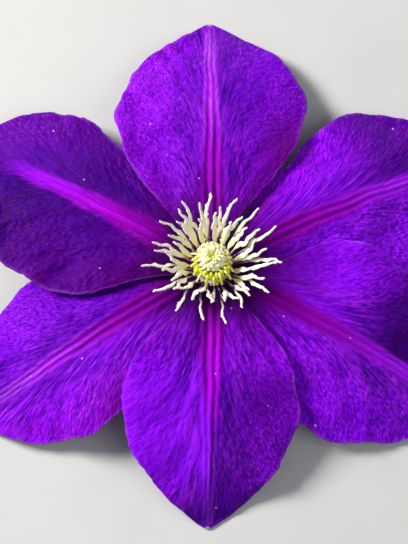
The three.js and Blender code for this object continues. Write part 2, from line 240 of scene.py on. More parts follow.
def half_width(along, length, width, widest, full, crest, tuck):
    rise = (along / widest) ** (widest / (1 - widest))
    blade = (rise * (1 - along) / (1 - widest)) ** 0.95
    waist = full + (1 - full) * ease(along, 0.05, 0.36)
    swell = MARGIN_SWELL * ease(along, 0.35, 0.5) * (1 - ease(along, 0.9, 1))
    wave = 1 + swell * np.cos((along - crest) * length * 2 * np.pi / MARGIN_PITCH)
    tucked = tuck * ease(along, 0.06, 0.2) * (1 - ease(along, 0.3, 0.43))
    return width * blade * waist * wave + tucked + CLAW_HALF_WIDTH * (1 - ease(along, 0.04, 0.2))


def common_height(radius, direction):
    """Height of the surface that all the tepals share."""
    from_bottom = np.radians(direction + 90)
    share = radius / (73.0 - 4.1 * np.cos(from_bottom) - 4.0 * np.cos(2 * from_bottom))
    height = CENTRE_HEIGHT + FIRST_RISE * share - DROOP * share * share
    for heading, depth, ripple, pitch, phase in FOLDS:
        weight = np.cos(np.clip(np.abs(turn(heading, direction)) / 29, 0, 1) * np.pi / 2) ** 2
        valley = depth * ease(radius, 8, 34) * (1 - 0.55 * ease(radius, 45, 75))
        waves = ripple * ease(radius, 18, 40) * np.sin(radius * 2 * np.pi / pitch + phase)
        height = height + weight * (valley + waves)
    return height


def rib_gap(along, widths):
    """Distance in mm from the middle rib to each side rib: they draw together at the claw and the tip."""
    return np.minimum(2.3 * (1 - 0.55 * ease(along, 0.35, 0.97)), 0.3 * widths)


def patchy(rng, x, y, pitch):
    """Smooth random values, about -1 to 1, at places x and y, with patches about one pitch wide."""
    cells = rng.uniform(-1, 1, (256, 256))
    u = x / pitch + 71.3
    v = y / pitch + 53.7
    column = np.floor(u).astype(int)
    row = np.floor(v).astype(int)
    s = u - column
    t = v - row
    s = s * s * (3 - 2 * s)
    t = t * t * (3 - 2 * t)
    near = cells[row % 256, column % 256] * (1 - s) + cells[row % 256, (column + 1) % 256] * s
    far = cells[(row + 1) % 256, column % 256] * (1 - s) + cells[(row + 1) % 256, (column + 1) % 256] * s
    return near * (1 - t) + far * t


def wrinkles(seed, p, q, slant, combed, pitch, reach):
    """Wrinkles on a blade's skin: fine random bumps, drawn out along the slant of the skin at each place.
    p runs along the midrib and q to its left, in mm. The result has a mean of 0 and a spread of 1."""
    steps = 14
    total = np.zeros_like(p)
    for heading in (1, -1):
        x, y = p.copy(), q.copy()
        for step in range(steps):
            rng = np.random.default_rng(seed)
            weight = 1 - step / steps
            total += weight * patchy(rng, x, y, pitch)
            bend = slant(x, y) + 0.35 * patchy(np.random.default_rng(seed + 1), x, y, 5.0)
            stride = heading * reach / steps * combed
            x = x + stride * np.cos(bend)
            y = y + stride * np.sin(bend)
    return (total - total.mean()) / total.std()


def set_attribute(mesh, name, values):
    attribute = mesh.attributes.new(name, "FLOAT", "POINT")
    attribute.data.foreach_set("value", np.ascontiguousarray(values, np.float32))


def shape_tepal(number, name, bar_form, direction, length, bend, left, right):
    bpy.ops.object.select_all(action="DESELECT")
    bpy.ops.mesh.primitive_grid_add(x_subdivisions=BLADE_ROWS, y_subdivisions=BLADE_LINES, size=2)
    blade = bpy.context.object
    blade.name = name
    count = len(blade.data.vertices)
    flat = np.empty(count * 3)
    blade.data.vertices.foreach_get("co", flat)
    flat = flat.reshape(-1, 3)
    start = CLAW_RADIUS / length
    along = start + (1 - TIP_CUT - start) * (flat[:, 0] + 1) / 2
    across = flat[:, 1]
    off = np.abs(across)
    is_left = across >= 0
    curl, layer, combed, claw_tone_and_shade, tip_tone_and_shade, purple = (
        np.where(is_left, left[index], right[index]) for index in range(5, 11))
    rng = np.random.default_rng(500 + number)

    # outline, with small uneven teeth along the margin
    widths = np.where(is_left, half_width(along, length, *left[:5]), half_width(along, length, *right[:5]))
    teeth = patchy(rng, along * length, np.where(is_left, 0.0, 40.0), 1.1)
    ruffle = patchy(rng, along * length, np.where(is_left, 0.0, 40.0), 4.2)
    margin_run = ease(along, 0.2, 0.35) * (1 - ease(along, 0.93, 0.99))
    waves = TOOTH * teeth * ease(off, 0.93, 1.0) + RUFFLE * ruffle * ease(off, 0.7, 1.0)
    widths = widths + waves * margin_run
    p = along * length
    q = across * widths
    heading = math.radians(direction)
    sideways = q + bend * along * along
    x = math.cos(heading) * p - math.sin(heading) * sideways
    y = math.sin(heading) * p + math.cos(heading) * sideways
    radius = np.hypot(x, y)
    bearing = np.degrees(np.arctan2(y, x))

    # relief: the common arch and folds, the ribs, the curled and frilled margins
    height = common_height(radius, bearing)
    gap = rib_gap(along, widths)
    rib_fade = ease(along, 0.08, 0.2) * (1 - ease(along, 0.8, 0.97))
    ribbed = q + RIB_SWAY * ease(along, 0.2, 0.45) * patchy(rng, p, np.zeros_like(p), 7.0)
    ribs = np.cos(ribbed * 2 * np.pi / gap) * np.exp(-(ribbed / (1.25 * gap)) ** 2)
    height += RIB_RISE * rib_fade * (1 - 0.4 * ease(along, 0.45, 0.8)) * ribs
    free_edge = ease(radius, 52, 64) * ease(off, 0.45, 1)
    height += EDGE_WAVE * free_edge * np.sin(along * 26 + across * 2 + direction)
    height += RUFFLE_RISE * ruffle * margin_run * ease(off, 0.75, 1)
    height += curl * ease(off, 0.55, 1) * ease(along, 0.2, 0.4) * (1 - ease(along, 0.78, 0.95))
    aside = np.abs(turn(direction, bearing))
    covered = (layer < 0) * ease(aside, 8, 18) * (1 - ease(along, 0.6, 0.8))
    height += layer * TEPAL_LIFT * ease(aside, 5, 20) - COVERED_DROP * covered

    def slant(x, y):
        outwards = np.radians(8 + 42 * ease(np.abs(y), 1.5, 17) * ease(x, 8, 30))
        return np.sign(y) * outwards

    # wrinkles
    fine = wrinkles(100 + 10 * number, p, q, slant, combed, 0.42, 1.5)
    coarse = wrinkles(103 + 10 * number, p, q, slant, combed, 0.9, 3.5)
    pleats = wrinkles(106 + 10 * number, p, q, slant, combed, 3.2, 18.0)
    on_blade = 1 - 0.75 * np.exp(-(q / (1.3 * gap)) ** 2)
    skin = on_blade * ease(along, 0.07, 0.25)
    height += skin * (FINE_RISE * fine + COARSE_RISE * coarse + PLEAT_RISE * (1 - 0.6 * covered) * pleats)

    top = np.maximum(height + SOLID_THICKNESS / 2, BLADE_THICKNESS + 0.05)
    placed = np.column_stack((axis.x + x * MM, axis.y + y * MM, top * MM))
    blade.data.vertices.foreach_set("co", placed.ravel())

    # thickness, drawn out thin at the margin
    thinning = blade.vertex_groups.new(name="thinning")
    flesh = 1 - 0.6 * ease(off, 0.9, 1)
    for level in range(8):
        band = np.flatnonzero(np.round(flesh * 8).astype(int) == level + 1)
        thinning.add(band.tolist(), (level + 1) / 8, "REPLACE")
    thicken = blade.modifiers.new("thickness", "SOLIDIFY")
    thicken.thickness = BLADE_THICKNESS * MM
    thicken.offset = -1
    thicken.vertex_group = "thinning"
    bpy.ops.object.modifier_apply(modifier="thickness")
    blade.vertex_groups.clear()
    solid = np.empty(count * 6)
    blade.data.vertices.foreach_get("co", solid)
    solid = solid.reshape(-1, 3)
    veins = rib_fade * (np.exp(-(q / 0.45) ** 2) + 0.7 * np.exp(-((np.abs(q) - gap) / 0.35) ** 2))
    solid[count:, 2] -= VEIN_RISE * veins * MM
    solid[:, 2] = np.maximum(solid[:, 2], 0)
    blade.data.vertices.foreach_set("co", solid.ravel())
    bpy.ops.object.shade_smooth()

    # where the colours go
    (bar_foot, bar_end, bar_reach, left_groove_shade, right_groove_shade, rib_highlight, left_valley_shade, right_valley_shade,
     streak, turning, painted_tip_shade) = bar_form
    # how deep the violet and the painted shade are from the claw to the tip, below 0 a patch of painted
    # sheen, then painted shade at the tip
    depth = claw_tone_and_shade + (tip_tone_and_shade - claw_tone_and_shade) * ease(along, turning, turning + 0.25)
    depth += (painted_tip_shade - depth) * (painted_tip_shade > 0) * ease(along, 0.72, 0.98)
    wobble = 0.35 * patchy(rng, p, np.where(is_left, 0.0, 60.0), 5.0)
    bar_width = bar_foot + (bar_end - bar_foot) * ease(along, 0.2, 0.65)
    bar = np.exp(-((np.abs(q) + wobble) / bar_width).clip(0, 9) ** 4)
    # painted shade in the grooves between the ribs
    groove_run = 0.6 + 0.4 * patchy(rng, p, np.where(is_left, 20.0, 80.0), 9.0)
    groove_shade = np.exp(-((np.abs(ribbed) - gap / 2) / (0.24 * gap)) ** 2) * groove_run * rib_fade
    # painted highlights along the crests of the ribs
    rib_run = 0.6 + 0.4 * patchy(rng, p, np.sign(ribbed) * 20, 4.0)
    rib_lines = np.exp(-(ribbed / 0.4) ** 2) + 0.6 * np.exp(-((np.abs(ribbed) - gap) / 0.4) ** 2)
    edge_run = 0.5 + 0.5 * patchy(rng, p, np.where(is_left, 40.0, 100.0), 4.0)
    streak_run = ease(along, 0.1, 0.25) * (1 - ease(along, 0.42, 0.68))
    # painted shade in the valley beside a neighbour
    valley_shade_run = np.exp(-((along - 0.45) / 0.17) ** 2) * ease(off, 0.35, 0.95)
    for attribute, values in (
        ("along", along),
        ("crest", np.clip(0.5 + 0.22 * fine + 0.06 * coarse, 0, 1)),
        ("pleat", np.clip(0.5 + 0.25 * pleats, 0, 1) * ease(combed, 0.2, 0.7)),
        ("depth", depth),
        ("purple", purple * (0.4 + 0.6 * ease(off, 0.3, 0.9))),
        ("flank", np.exp(-((np.abs(q) - 2.9 * gap) / (1.9 * gap)) ** 2)),
        ("bar", bar * (1 - ease(along, bar_reach - 0.4, bar_reach))),
        ("streak", streak * np.exp(-((q - 0.7) / 1.1) ** 2) * streak_run),
        ("groove_shade", np.where(is_left, left_groove_shade, right_groove_shade) * groove_shade),
        ("painted_rib_highlight", rib_highlight * rib_lines * rib_run * ease(along, 0.4, 0.65)),
        ("valley", np.where(is_left, left_valley_shade, right_valley_shade) * valley_shade_run),
        ("margin", edge_run * ease(off, 0.955, 1.0)),
        ("tip", 1 - ease(np.hypot(q, p - length), 0.4, 0.9)),
    ):
        set_attribute(blade.data, attribute, np.tile(values, 2))
    set_attribute(blade.data, "under", np.repeat((0.0, 1.0), count))

    # a flat map for the grain of the skin, drawn out along the slant of the wrinkles, and one for baking
    corners = np.empty(len(blade.data.loops), np.int64)
    blade.data.loops.foreach_get("vertex_index", corners)
    is_back = corners >= count
    corners = corners % count
    faces = corners.reshape(-1, 4)
    leftwards = np.repeat(q[faces].mean(axis=1) >= 0, 4)
    table = np.linspace(0, 40, 400)
    table_step = 0.1003
    leaning = np.radians(12 + 38 * ease(table, 1.5, 17))
    drift = np.concatenate(([0], np.cumsum(table_step / np.tan(leaning[1:]))))
    left_combed, right_combed = left[7], right[7]
    stretch = 0.3 + 0.8 * (1 - np.where(leftwards, left_combed, right_combed))
    grain = np.column_stack((np.abs(q[corners]) * stretch + np.where(leftwards, 0, 90),
                             p[corners] - np.interp(np.abs(q[corners]), table, drift)))
    blade.data.uv_layers.new(name="grain").data.foreach_set("uv", grain.ravel())
    rim = np.repeat(is_back.reshape(-1, 4).any(axis=1) & ~is_back.reshape(-1, 4).all(axis=1), 4)
    baking = np.column_stack((0.01 + 0.48 * (q[corners] + 30) / 60 + 0.5 * is_back, p[corners] / 80))
    baking[rim & is_back] -= (0.5, 0)
    outward = np.column_stack((np.sign(across[corners]) * (off[corners] > 0.999), np.sign(flat[corners, 0])
                               * (np.abs(flat[corners, 0]) > 0.999)))
    baking += 0.004 * outward * (rim & is_back)[:, None]
    blade.data.uv_layers.new(name="OFBake").data.foreach_set("uv", baking.ravel())
    return blade


def shade_from(tree, name):
    return add_node(tree, "ShaderNodeAttribute", {"attribute_name": name}).outputs["Fac"]


def between(tree, value, low, high):
    """Rises smoothly from 0 to 1 as value goes from low to high, which may be the less."""
    spread = add_node(tree, "ShaderNodeMapRange", {"interpolation_type": "SMOOTHSTEP"}, Value=value)
    spread.inputs["From Min"].default_value = low
    spread.inputs["From Max"].default_value = high
    return spread.outputs["Result"]


def calculate(tree, operation, *values):
    """The output of a Math node; each value is a number or another node's output."""
    made = tree.nodes.new("ShaderNodeMath")
    made.operation = operation
    for index, value in enumerate(values):
        if isinstance(value, bpy.types.NodeSocket):
            tree.links.new(value, made.inputs[index])
        else:
            made.inputs[index].default_value = value
    return made.outputs[0]


def times(tree, product, *factors):
    for factor in factors:
        product = calculate(tree, "MULTIPLY", product, factor)
    return product


def add_layers(tree, base, layers):
    """base under layers of colour, each with the factors that give its amount from 0 to 1."""
    for colour, *factors in layers:
        base = blend_colour(tree, base, colour, times(tree, *factors))
    return base


# Velvety violet, bluer or more purple from place to place, with painted highlights on the wrinkle crests and
# painted shade in their furrows, a streaked magenta bar, and a few specks of pollen.
tepal_finish, tree, shader = new_material("violet tepal skin", roughness=0.48, specular=0.22)
skin_map = add_node(tree, "ShaderNodeUVMap", {"uv_map": "grain"}).outputs["UV"]
grain, strands, fans = (
    add_node(tree, "ShaderNodeTexNoise", {"noise_dimensions": "2D"}, Vector=skin_map, Scale=scale,
             Detail=detail, Distortion=distortion).outputs["Fac"]
    for scale, detail, distortion in ((1.5, 2.5, 0.4), (2.6, 1.5, 0.5), (0.55, 1.5, 0.3))
)
clouds = add_noise(tree, 45.0)
along, crest, pleat, depth, flank = (
    shade_from(tree, name) for name in ("along", "crest", "pleat", "depth", "flank"))
off_bar = between(tree, shade_from(tree, "bar"), 1.4, 0.2)
dull = between(tree, depth, 1.6, 0.0)
furrow_shade = between(tree, depth, -0.75, 0.05)

# bluer and lighter places, painted highlights on the crests of the wrinkles, strands, fans and pleats,
# a patch of painted sheen, then deeper violet with painted shade, darker places, and painted shade in the
# furrows
violet = blend_colour(tree, (0.20, 0.001, 0.88), (0.34, 0.002, 0.90), shade_from(tree, "purple"))
violet = add_layers(tree, violet, (
    ((0.12, 0.001, 0.80), flank, 0.5),
    ((0.33, 0.003, 0.95), between(tree, clouds, 0.35, 0.7), 0.3),
    # painted highlights on the crests of the wrinkles, strands, fans and pleats
    ((0.50, 0.012, 1.0), dull, between(tree, grain, 0.56, 0.67), 0.65, off_bar),
    ((0.62, 0.022, 1.0), between(tree, strands, 0.55, 0.68), dull, off_bar, 0.5),
    ((0.48, 0.01, 1.0), between(tree, crest, 0.55, 0.95), 0.3),
    ((0.56, 0.03, 1.0), between(tree, fans, 0.52, 0.66), flank, between(tree, depth, 1.3, 0.1), 0.65),
    ((0.46, 0.02, 0.95), between(tree, pleat, 0.6, 1.0), 0.35),
    # a patch of painted sheen where the depth is below 0
    ((0.30, 0.006, 0.98), between(tree, depth, 0.0, -0.5), 0.6),
    # deeper violet and painted shade
    ((0.004, 0.0, 0.012), depth, 0.8),
    ((0.10, 0.0005, 0.45), between(tree, clouds, 0.48, 0.3), 0.35),
    # painted shade in the furrows
    ((0.05, 0.0003, 0.30), between(tree, crest, 0.5, 0.1), 0.4, furrow_shade),
    ((0.04, 0.0003, 0.27), between(tree, grain, 0.47, 0.33), 0.6, furrow_shade),
    ((0.04, 0.0003, 0.27), between(tree, strands, 0.45, 0.33), 0.5, furrow_shade),
    ((0.03, 0.0003, 0.2), between(tree, fans, 0.48, 0.35), flank, furrow_shade, 0.65),
))

# the bar, redder near the claw, with a ragged edge
magenta = blend_colour(tree, (0.245, 0.0005, 0.39), (0.34, 0.003, 0.90), between(tree, along, 0.35, 0.75))
magenta = add_layers(tree, magenta, (
    ((0.56, 0.01, 0.75), between(tree, grain, 0.52, 0.7), 0.4),
    ((0.12, 0.0003, 0.24), between(tree, grain, 0.46, 0.34), 0.5),
    ((0.55, 0.002, 0.88), shade_from(tree, "streak")),
))
ragged_bar = calculate(tree, "MULTIPLY_ADD", grain, 1.3, shade_from(tree, "bar"))
violet = blend_colour(tree, violet, magenta, between(tree, ragged_bar, 0.7, 1.6))

# painted shade in the grooves and in the valleys beside the neighbours, painted glints, painted highlights on
# the ribs, painted shade under the stamens that darkens the claw, the tip, the margin and the pollen
dust = add_node(tree, "ShaderNodeTexVoronoi", Vector=object_place(tree), Scale=230.0)
dust_draw = add_node(tree, "ShaderNodeSeparateColor", Color=dust.outputs["Color"]).outputs[0]
violet = add_layers(tree, violet, (
    # painted shade in the grooves and in the valleys beside the neighbours
    ((0.09, 0.0005, 0.14), shade_from(tree, "groove_shade"), between(tree, along, 0.95, 0.3)),
    ((0.09, 0.0004, 0.10), shade_from(tree, "valley"), 0.9),
    # painted glints and painted highlights on the ribs
    ((0.66, 0.10, 1.0), between(tree, strands, 0.60, 0.70), dull, between(tree, along, 0.4, 0.85),
     off_bar, between(tree, clouds, 0.4, 0.6), 0.55),
    ((0.85, 0.17, 0.90), shade_from(tree, "painted_rib_highlight"), between(tree, grain, 0.35, 0.6)),
    # painted shade under the stamens, deepening to near black at the claw
    ((0.11, 0.0004, 0.15), between(tree, along, 0.42, 0.18), 0.5),
    ((0.02, 0.0002, 0.035), between(tree, along, 0.27, 0.1), 0.9),
    ((0.60, 0.52, 0.45), shade_from(tree, "tip")),
    ((0.50, 0.12, 0.85), shade_from(tree, "margin"), 0.3),
    ((0.75, 0.45, 0.85), between(tree, dust.outputs["Distance"], 0.075, 0.035),
     between(tree, dust_draw, 0.8, 0.82)),
))
pale_back = blend_colour(tree, (0.30, 0.12, 0.52), (0.33, 0.30, 0.30), shade_from(tree, "bar"))
tree.links.new(blend_colour(tree, violet, pale_back, shade_from(tree, "under")), shader.inputs["Base Color"])
wrinkle_height = times(tree, calculate(tree, "MULTIPLY_ADD", strands, 0.7, grain), off_bar)
add_relief(tree, shader, wrinkle_height, strength=0.8, distance=0.0002)
shader.inputs["Specular Tint"].default_value = (0.5, 0.05, 1.0, 1)
shader.inputs["Sheen Weight"].default_value = 0.05
shader.inputs["Sheen Roughness"].default_value = 0.4
shader.inputs["Sheen Tint"].default_value = (0.6, 0.1, 1.0, 1)

for number, (side, form) in enumerate(TEPALS.items()):
    tepal = shape_tepal(number, f"{side}_tepal", BARS[side], *form)
    tepal.data.materials.append(tepal_finish)
    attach(tepal, "root")
    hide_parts(f"tepal_{side}")

# ------------------------------------------------------------------------------------- outer stamens
# Forty-six stamens in three whorls stand out from a ring round the boss: a thin filament, purple at its
# root, and a long flat cream anther, crooked and notched where it has shed its pollen, with a thin blunt
# tip. Each is bent from a copy of one straight rod.
RING_BASE = 15.7
RING_TOP = 16.7
ROOT_HEIGHT = RING_BASE + 0.4
OUTER_COUNT = 46
# Each whorl's root radius, reach and rise, where its anthers start along the length, and their breadth.
WHORLS = ((4.75, 12.8, 9.4, 0.34, 1.15), (4.7, 9.4, 10.0, 0.22, 1.35), (4.7, 7.2, 9.2, 0.14, 1.45))


def draw_from(seed):
    """A seeded draw between -1 and 1, the same on every run and in the plain solid."""
    state = seed
    while True:
        state = state * 16807 % 2147483647
        yield state / 2147483647 * 2 - 1


def straight_rod(sides, rings):
    """A rod of width 1 from z = 0 to z = 1, with rings of corners along it."""
    bpy.ops.object.select_all(action="DESELECT")
    bpy.ops.mesh.primitive_cylinder_add(vertices=sides, radius=0.5, depth=1, location=(0, 0, 0.5))
    rod = bpy.context.object
    bpy.ops.object.transform_apply(location=True)
    for edge in rod.data.edges:
        low_end, high_end = (rod.data.vertices[corner].co.z for corner in edge.vertices)
        edge.select = abs(high_end - low_end) > 0.5
    for face in rod.data.polygons:
        face.select = False
    bpy.context.tool_settings.mesh_select_mode = (False, True, False)
    bpy.ops.object.mode_set(mode="EDIT")
    bpy.ops.mesh.subdivide(number_cuts=rings)
    bpy.ops.object.mode_set(mode="OBJECT")
    return rod


def bend_copy(rod, heading, path, across, depth, twist, extra=()):
    """A round-tipped copy of the rod laid along a path. For shares of the length, path gives radius, height
    and shift to the left, across the width at the left and the right edge, depth the thickness and twist
    its turn. extra holds colour attributes."""
    copied = rod.copy()
    copied.data = rod.data.copy()
    bpy.context.collection.objects.link(copied)
    flat = np.empty(len(copied.data.vertices) * 3)
    copied.data.vertices.foreach_get("co", flat)
    x, y, share = flat.reshape(-1, 3).T
    outward = np.array((math.cos(heading), math.sin(heading), 0.0))
    left = np.array((-math.sin(heading), math.cos(heading), 0.0))
    upward = np.array((0.0, 0.0, 1.0))

    def places(at):
        radius, height, shift = (np.broadcast_to(value, at.shape)[:, None] for value in path(at))
        return radius * outward + shift * left + height * upward

    ahead = places(share + 0.004) - places(share - 0.004)
    ahead /= np.linalg.norm(ahead, axis=1)[:, None]
    back = np.cross(left, ahead)
    back /= np.linalg.norm(back, axis=1)[:, None]
    side = np.cross(ahead, back)
    angle = twist(share)[:, None]
    turned_side = side * np.cos(angle) + back * np.sin(angle)
    turned_back = back * np.cos(angle) - side * np.sin(angle)
    rounding = np.sqrt(np.clip(1 - np.clip((share - 0.965) / 0.036, 0, 1) ** 2, 0.02, 1))
    width = across(share, x > 0)
    hollow = 0.3 * np.exp(-(x / 0.16) ** 2) * ease(share, 0.3, 0.5)
    placed = (places(share) + turned_side * (x * width * rounding)[:, None]
              + turned_back * (y * (1 - hollow) * depth(share) * rounding)[:, None])
    placed = placed * MM + np.array(axis)
    copied.data.vertices.foreach_set("co", placed.ravel())
    set_attribute(copied.data, "share", share)
    for name, value in dict(extra).items():
        set_attribute(copied.data, name, np.full(len(share), value))
    return copied


def ring_band(inner, outer, sides):
    """The low ring that the stamens' roots are sunk into."""
    bpy.ops.object.select_all(action="DESELECT")
    bpy.ops.mesh.primitive_circle_add(vertices=sides, radius=outer * MM,
                                      location=axis + Vector((0, 0, RING_BASE * MM)))
    band = bpy.context.object
    bpy.ops.object.transform_apply(location=True)
    bpy.ops.object.mode_set(mode="EDIT")
    bpy.ops.mesh.extrude_region_move(TRANSFORM_OT_translate={"value": (0, 0, (RING_TOP - RING_BASE) * MM)})
    bpy.ops.object.mode_set(mode="OBJECT")
    thicken = band.modifiers.new("thickness", "SOLIDIFY")
    thicken.thickness = (outer - inner) * MM
    thicken.offset = -1
    bpy.ops.object.modifier_apply(modifier="thickness")
    soften = band.modifiers.new("soft edges", "BEVEL")
    soften.width = 0.25 * MM
    soften.segments = 3
    bpy.ops.object.modifier_apply(modifier="soft edges")
    for name in ("share", "tint", "start", "hook", "far"):
        set_attribute(band.data, name, np.zeros(len(band.data.vertices)))
    return band


def join_as(name, parts):
    bpy.ops.object.select_all(action="DESELECT")
    for part in parts:
        part.select_set(True)
    bpy.context.view_layer.objects.active = parts[0]
    bpy.ops.object.join()
    whole = bpy.context.object
    whole.name = name
    bpy.ops.object.mode_set(mode="EDIT")
    bpy.ops.mesh.select_all(action="SELECT")
    bpy.ops.mesh.normals_make_consistent(inside=False)
    bpy.ops.object.mode_set(mode="OBJECT")
    bpy.ops.object.shade_smooth()
    return whole


def toward_stalk(heading):
    """1 for a stamen on the stalk's side of the flower, 0 for one on the other side."""
    return 0.5 - 0.5 * math.sin(heading)


def crooked_stamen(rod, index, draw, rng):
    root, whorl_reach, whorl_rise, start, breadth = WHORLS[index % 3]
    heading = math.radians(index * 360 / OUTER_COUNT + 1.9 * next(draw))
    lower = toward_stalk(heading)
    # On the stalk's side the anthers start further out, so more of the dark filament shows there; it also
    # stands in as painted shade under the inner stamens.
    start += 0.34 * lower ** 4
    reach_out = (whorl_reach + 1.6 * next(draw)) * (1 - 0.08 * lower)
    rise = (whorl_rise + 1.1 * next(draw)) * (1 - 0.36 * lower)
    sway = 0.85 * next(draw)
    kink = 1.0 * next(draw)
    full_twist = math.radians(32 * next(draw))
    knees = [(rng.uniform(0.4, 0.95), rng.uniform(-0.45, 0.45)) for knee in range(4)]
    notches = [(rng.uniform(start + 0.12, 0.96), rng.uniform(0.012, 0.03), rng.uniform(-0.45, 0.6),
                rng.random() > 0.5) for notch in range(10)]

    def path(share):
        wander = sum(push * ease(share, at - 0.05, at + 0.05) * (1 - ease(share, at + 0.06, at + 0.22))
                     for at, push in knees)
        lift = sum(push * ease(share, at - 0.04, at + 0.06) for at, push in knees[:2])
        height = ROOT_HEIGHT + rise * (1.28 * share - 0.28 * share * share) + 0.5 * lift
        shift = sway * np.sin(share * 4.2) + kink * ease(share, 0.7, 1) + wander
        return root + reach_out * share, height, shift

    def across(share, on_left):
        width = 0.5 + (breadth - 0.5) * ease(share, start, start + 0.16) * (1 - 0.95 * ease(share, 0.5, 0.98))
        for at, spread, height, is_left in notches:
            width = width + height * np.exp(-((share - at) / spread) ** 2) * (on_left == is_left)
        return np.maximum(width, 0.5 - 0.2 * ease(share, 0.5, 0.95))

    def depth(share):
        return 0.5 + 0.12 * ease(share, 0.3, 0.5)

    def twist(share):
        return full_twist * ease(share, 0.2, 0.7)

    return bend_copy(rod, heading, path, across, depth, twist, {"tint": rng.random(), "start": start})


outer_draw = draw_from(4127)
outer_rng = np.random.default_rng(46)
rod = straight_rod(sides=16, rings=52)
parts = [ring_band(inner=4.3, outer=5.1, sides=48)]
for index in range(OUTER_COUNT):
    parts.append(crooked_stamen(rod, index, outer_draw, outer_rng))
bpy.data.objects.remove(rod)
outer_stamens = join_as("outer_stamens", parts)

cream, tree, shader = new_material("cream anthers on purple filaments", roughness=0.6, specular=0.25)
share = shade_from(tree, "share")
past_start = calculate(tree, "SUBTRACT", share, shade_from(tree, "start"))
powder = add_noise(tree, 1500.0, 3.0)
colour = add_layers(tree, (0.06, 0.004, 0.09), (
    ((0.50, 0.32, 0.45), between(tree, past_start, -0.2, -0.03)),
    ((1.0, 0.95, 0.60), between(tree, past_start, -0.03, 0.08)),
    ((1.0, 0.96, 0.80), between(tree, share, 0.4, 0.7)),
    ((1.0, 0.84, 0.86), between(tree, share, 0.84, 0.96), shade_from(tree, "tint")),
    ((0.80, 0.76, 0.52), between(tree, powder, 0.55, 0.75)),
))
tree.links.new(colour, shader.inputs["Base Color"])
add_relief(tree, shader, powder, strength=0.5, distance=0.0001)
shader.inputs["Subsurface Weight"].default_value = 0.1
shader.inputs["Subsurface Radius"].default_value = (0.001, 0.0008, 0.0005)
outer_stamens.data.materials.append(cream)
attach(outer_stamens, "root")
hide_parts("stamens_outer")

# ------------------------------------------------------------------------------------- inner stamens
# Young stamens, still closed and smooth, stand close together in two tiers round the styles. Each rises
# beside them, arches outwards and hangs over with a pale blunt tip, lowest on the stalk's side. They are
# bent from copies of one rod and grow from a ring inside the outer stamens'.
INNER_COUNT = 40
FINGER_ROOT = 3.1              # distance from the axis
# Each tier's rise, its spread on the far side, and what the stalk's side spreads more.
TIERS = ((7.0, 0.9, 1.35), (7.4, 0.65, 0.95))


def yellow_finger(rod, index, draw, rng):
    tier_rise, tier_spread, tier_hang = TIERS[index % 2]
    heading = math.radians((index + 0.5) * 360 / INNER_COUNT + 1.2 * next(draw))
    lower = toward_stalk(heading)
    rise = tier_rise + 0.2 * next(draw) + rng.uniform(-0.2, 0.2)
    spread = tier_spread + tier_hang * lower * lower + rng.uniform(-0.12, 0.2)
    tip_angle = math.radians(100 + 41 * lower + 4 * next(draw) + rng.uniform(-6, 12) * lower)
    lean = rng.uniform(-0.35, 0.35)
    thick = rng.uniform(0.85, 1.15)
    hooked = rng.random() < 0.15 * lower

    def path(share):
        radius = FINGER_ROOT + spread * (1 - np.cos(share * tip_angle)) + 0.8 * hooked * ease(share, 0.86, 1)
        return radius, ROOT_HEIGHT + rise * np.sin(share * tip_angle), lean * ease(share, 0.4, 1)

    def across(share, on_left):
        width = 0.56 + 0.16 * thick * ease(share, 0.35, 0.7) * (1 - 0.9 * ease(share, 0.86, 1))
        return width - 0.22 * hooked * ease(share, 0.8, 0.88) * (1 - ease(share, 0.92, 1))

    def depth(share):
        return 0.58 + 0.16 * ease(share, 0.3, 0.8)

    def twist(share):
        return 0.5 * lean * share

    colours = {"tint": rng.random(), "hook": float(hooked), "far": 1 - lower}
    return bend_copy(rod, heading, path, across, depth, twist, colours)


inner_draw = draw_from(929)
inner_rng = np.random.default_rng(24)
rod = straight_rod(sides=12, rings=26)
parts = [ring_band(inner=2.5, outer=3.7, sides=36)]
for index in range(INNER_COUNT):
    parts.append(yellow_finger(rod, index, inner_draw, inner_rng))
bpy.data.objects.remove(rod)
inner_stamens = join_as("inner_stamens", parts)

yellow, tree, shader = new_material("yellow young anthers", roughness=0.42, specular=0.35)
share = shade_from(tree, "share")
mottle = add_noise(tree, 900.0)
colour = add_layers(tree, (0.97, 0.95, 0.36), (
    ((0.88, 0.82, 0.05), between(tree, share, 0.5, 0.75)),
    ((0.70, 0.70, 0.03), shade_from(tree, "tint")),
    ((0.92, 0.90, 0.50), between(tree, share, 0.86, 1.0)),
    ((1.0, 0.96, 0.86), shade_from(tree, "hook"), between(tree, share, 0.75, 0.9)),
    ((1.0, 0.96, 0.58), between(tree, shade_from(tree, "far"), 0.35, 0.9), 0.8),
    ((0.60, 0.55, 0.03), between(tree, mottle, 0.55, 0.8)),
))
tree.links.new(colour, shader.inputs["Base Color"])
add_relief(tree, shader, mottle, strength=0.2, distance=0.0001)
inner_stamens.data.materials.append(yellow)
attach(inner_stamens, "root")
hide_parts("stamens_inner")

# ------------------------------------------------------------------------------------- styles
# The pale styles rise from the seed heads as one tuft and spread at the top, blunt-ended, round a small
# green dimple. They are soft and faintly downy.
STYLE_FOOT = 20.6
CORE_RADIUS = 3.1
CORE_DEPTH = 8.4
CORE_SHOULDER = 1.3
# From the outside inwards: how many, radius at the foot and at the tip, height and width, how far the tip
# hangs over, and how green it is.
STYLE_ROUNDS = (
    (24, 2.0, 3.8, 24.2, 0.84, 1.0, 0.0), (19, 1.5, 3.15, 24.65, 0.82, 0.5, 0.0),
    (14, 1.0, 2.4, 24.9, 0.78, 0.2, 0.0), (9, 0.6, 1.6, 24.9, 0.66, 0.0, 0.3),
    (4, 0.25, 0.55, 24.5, 0.6, 0.0, 1.0),
)


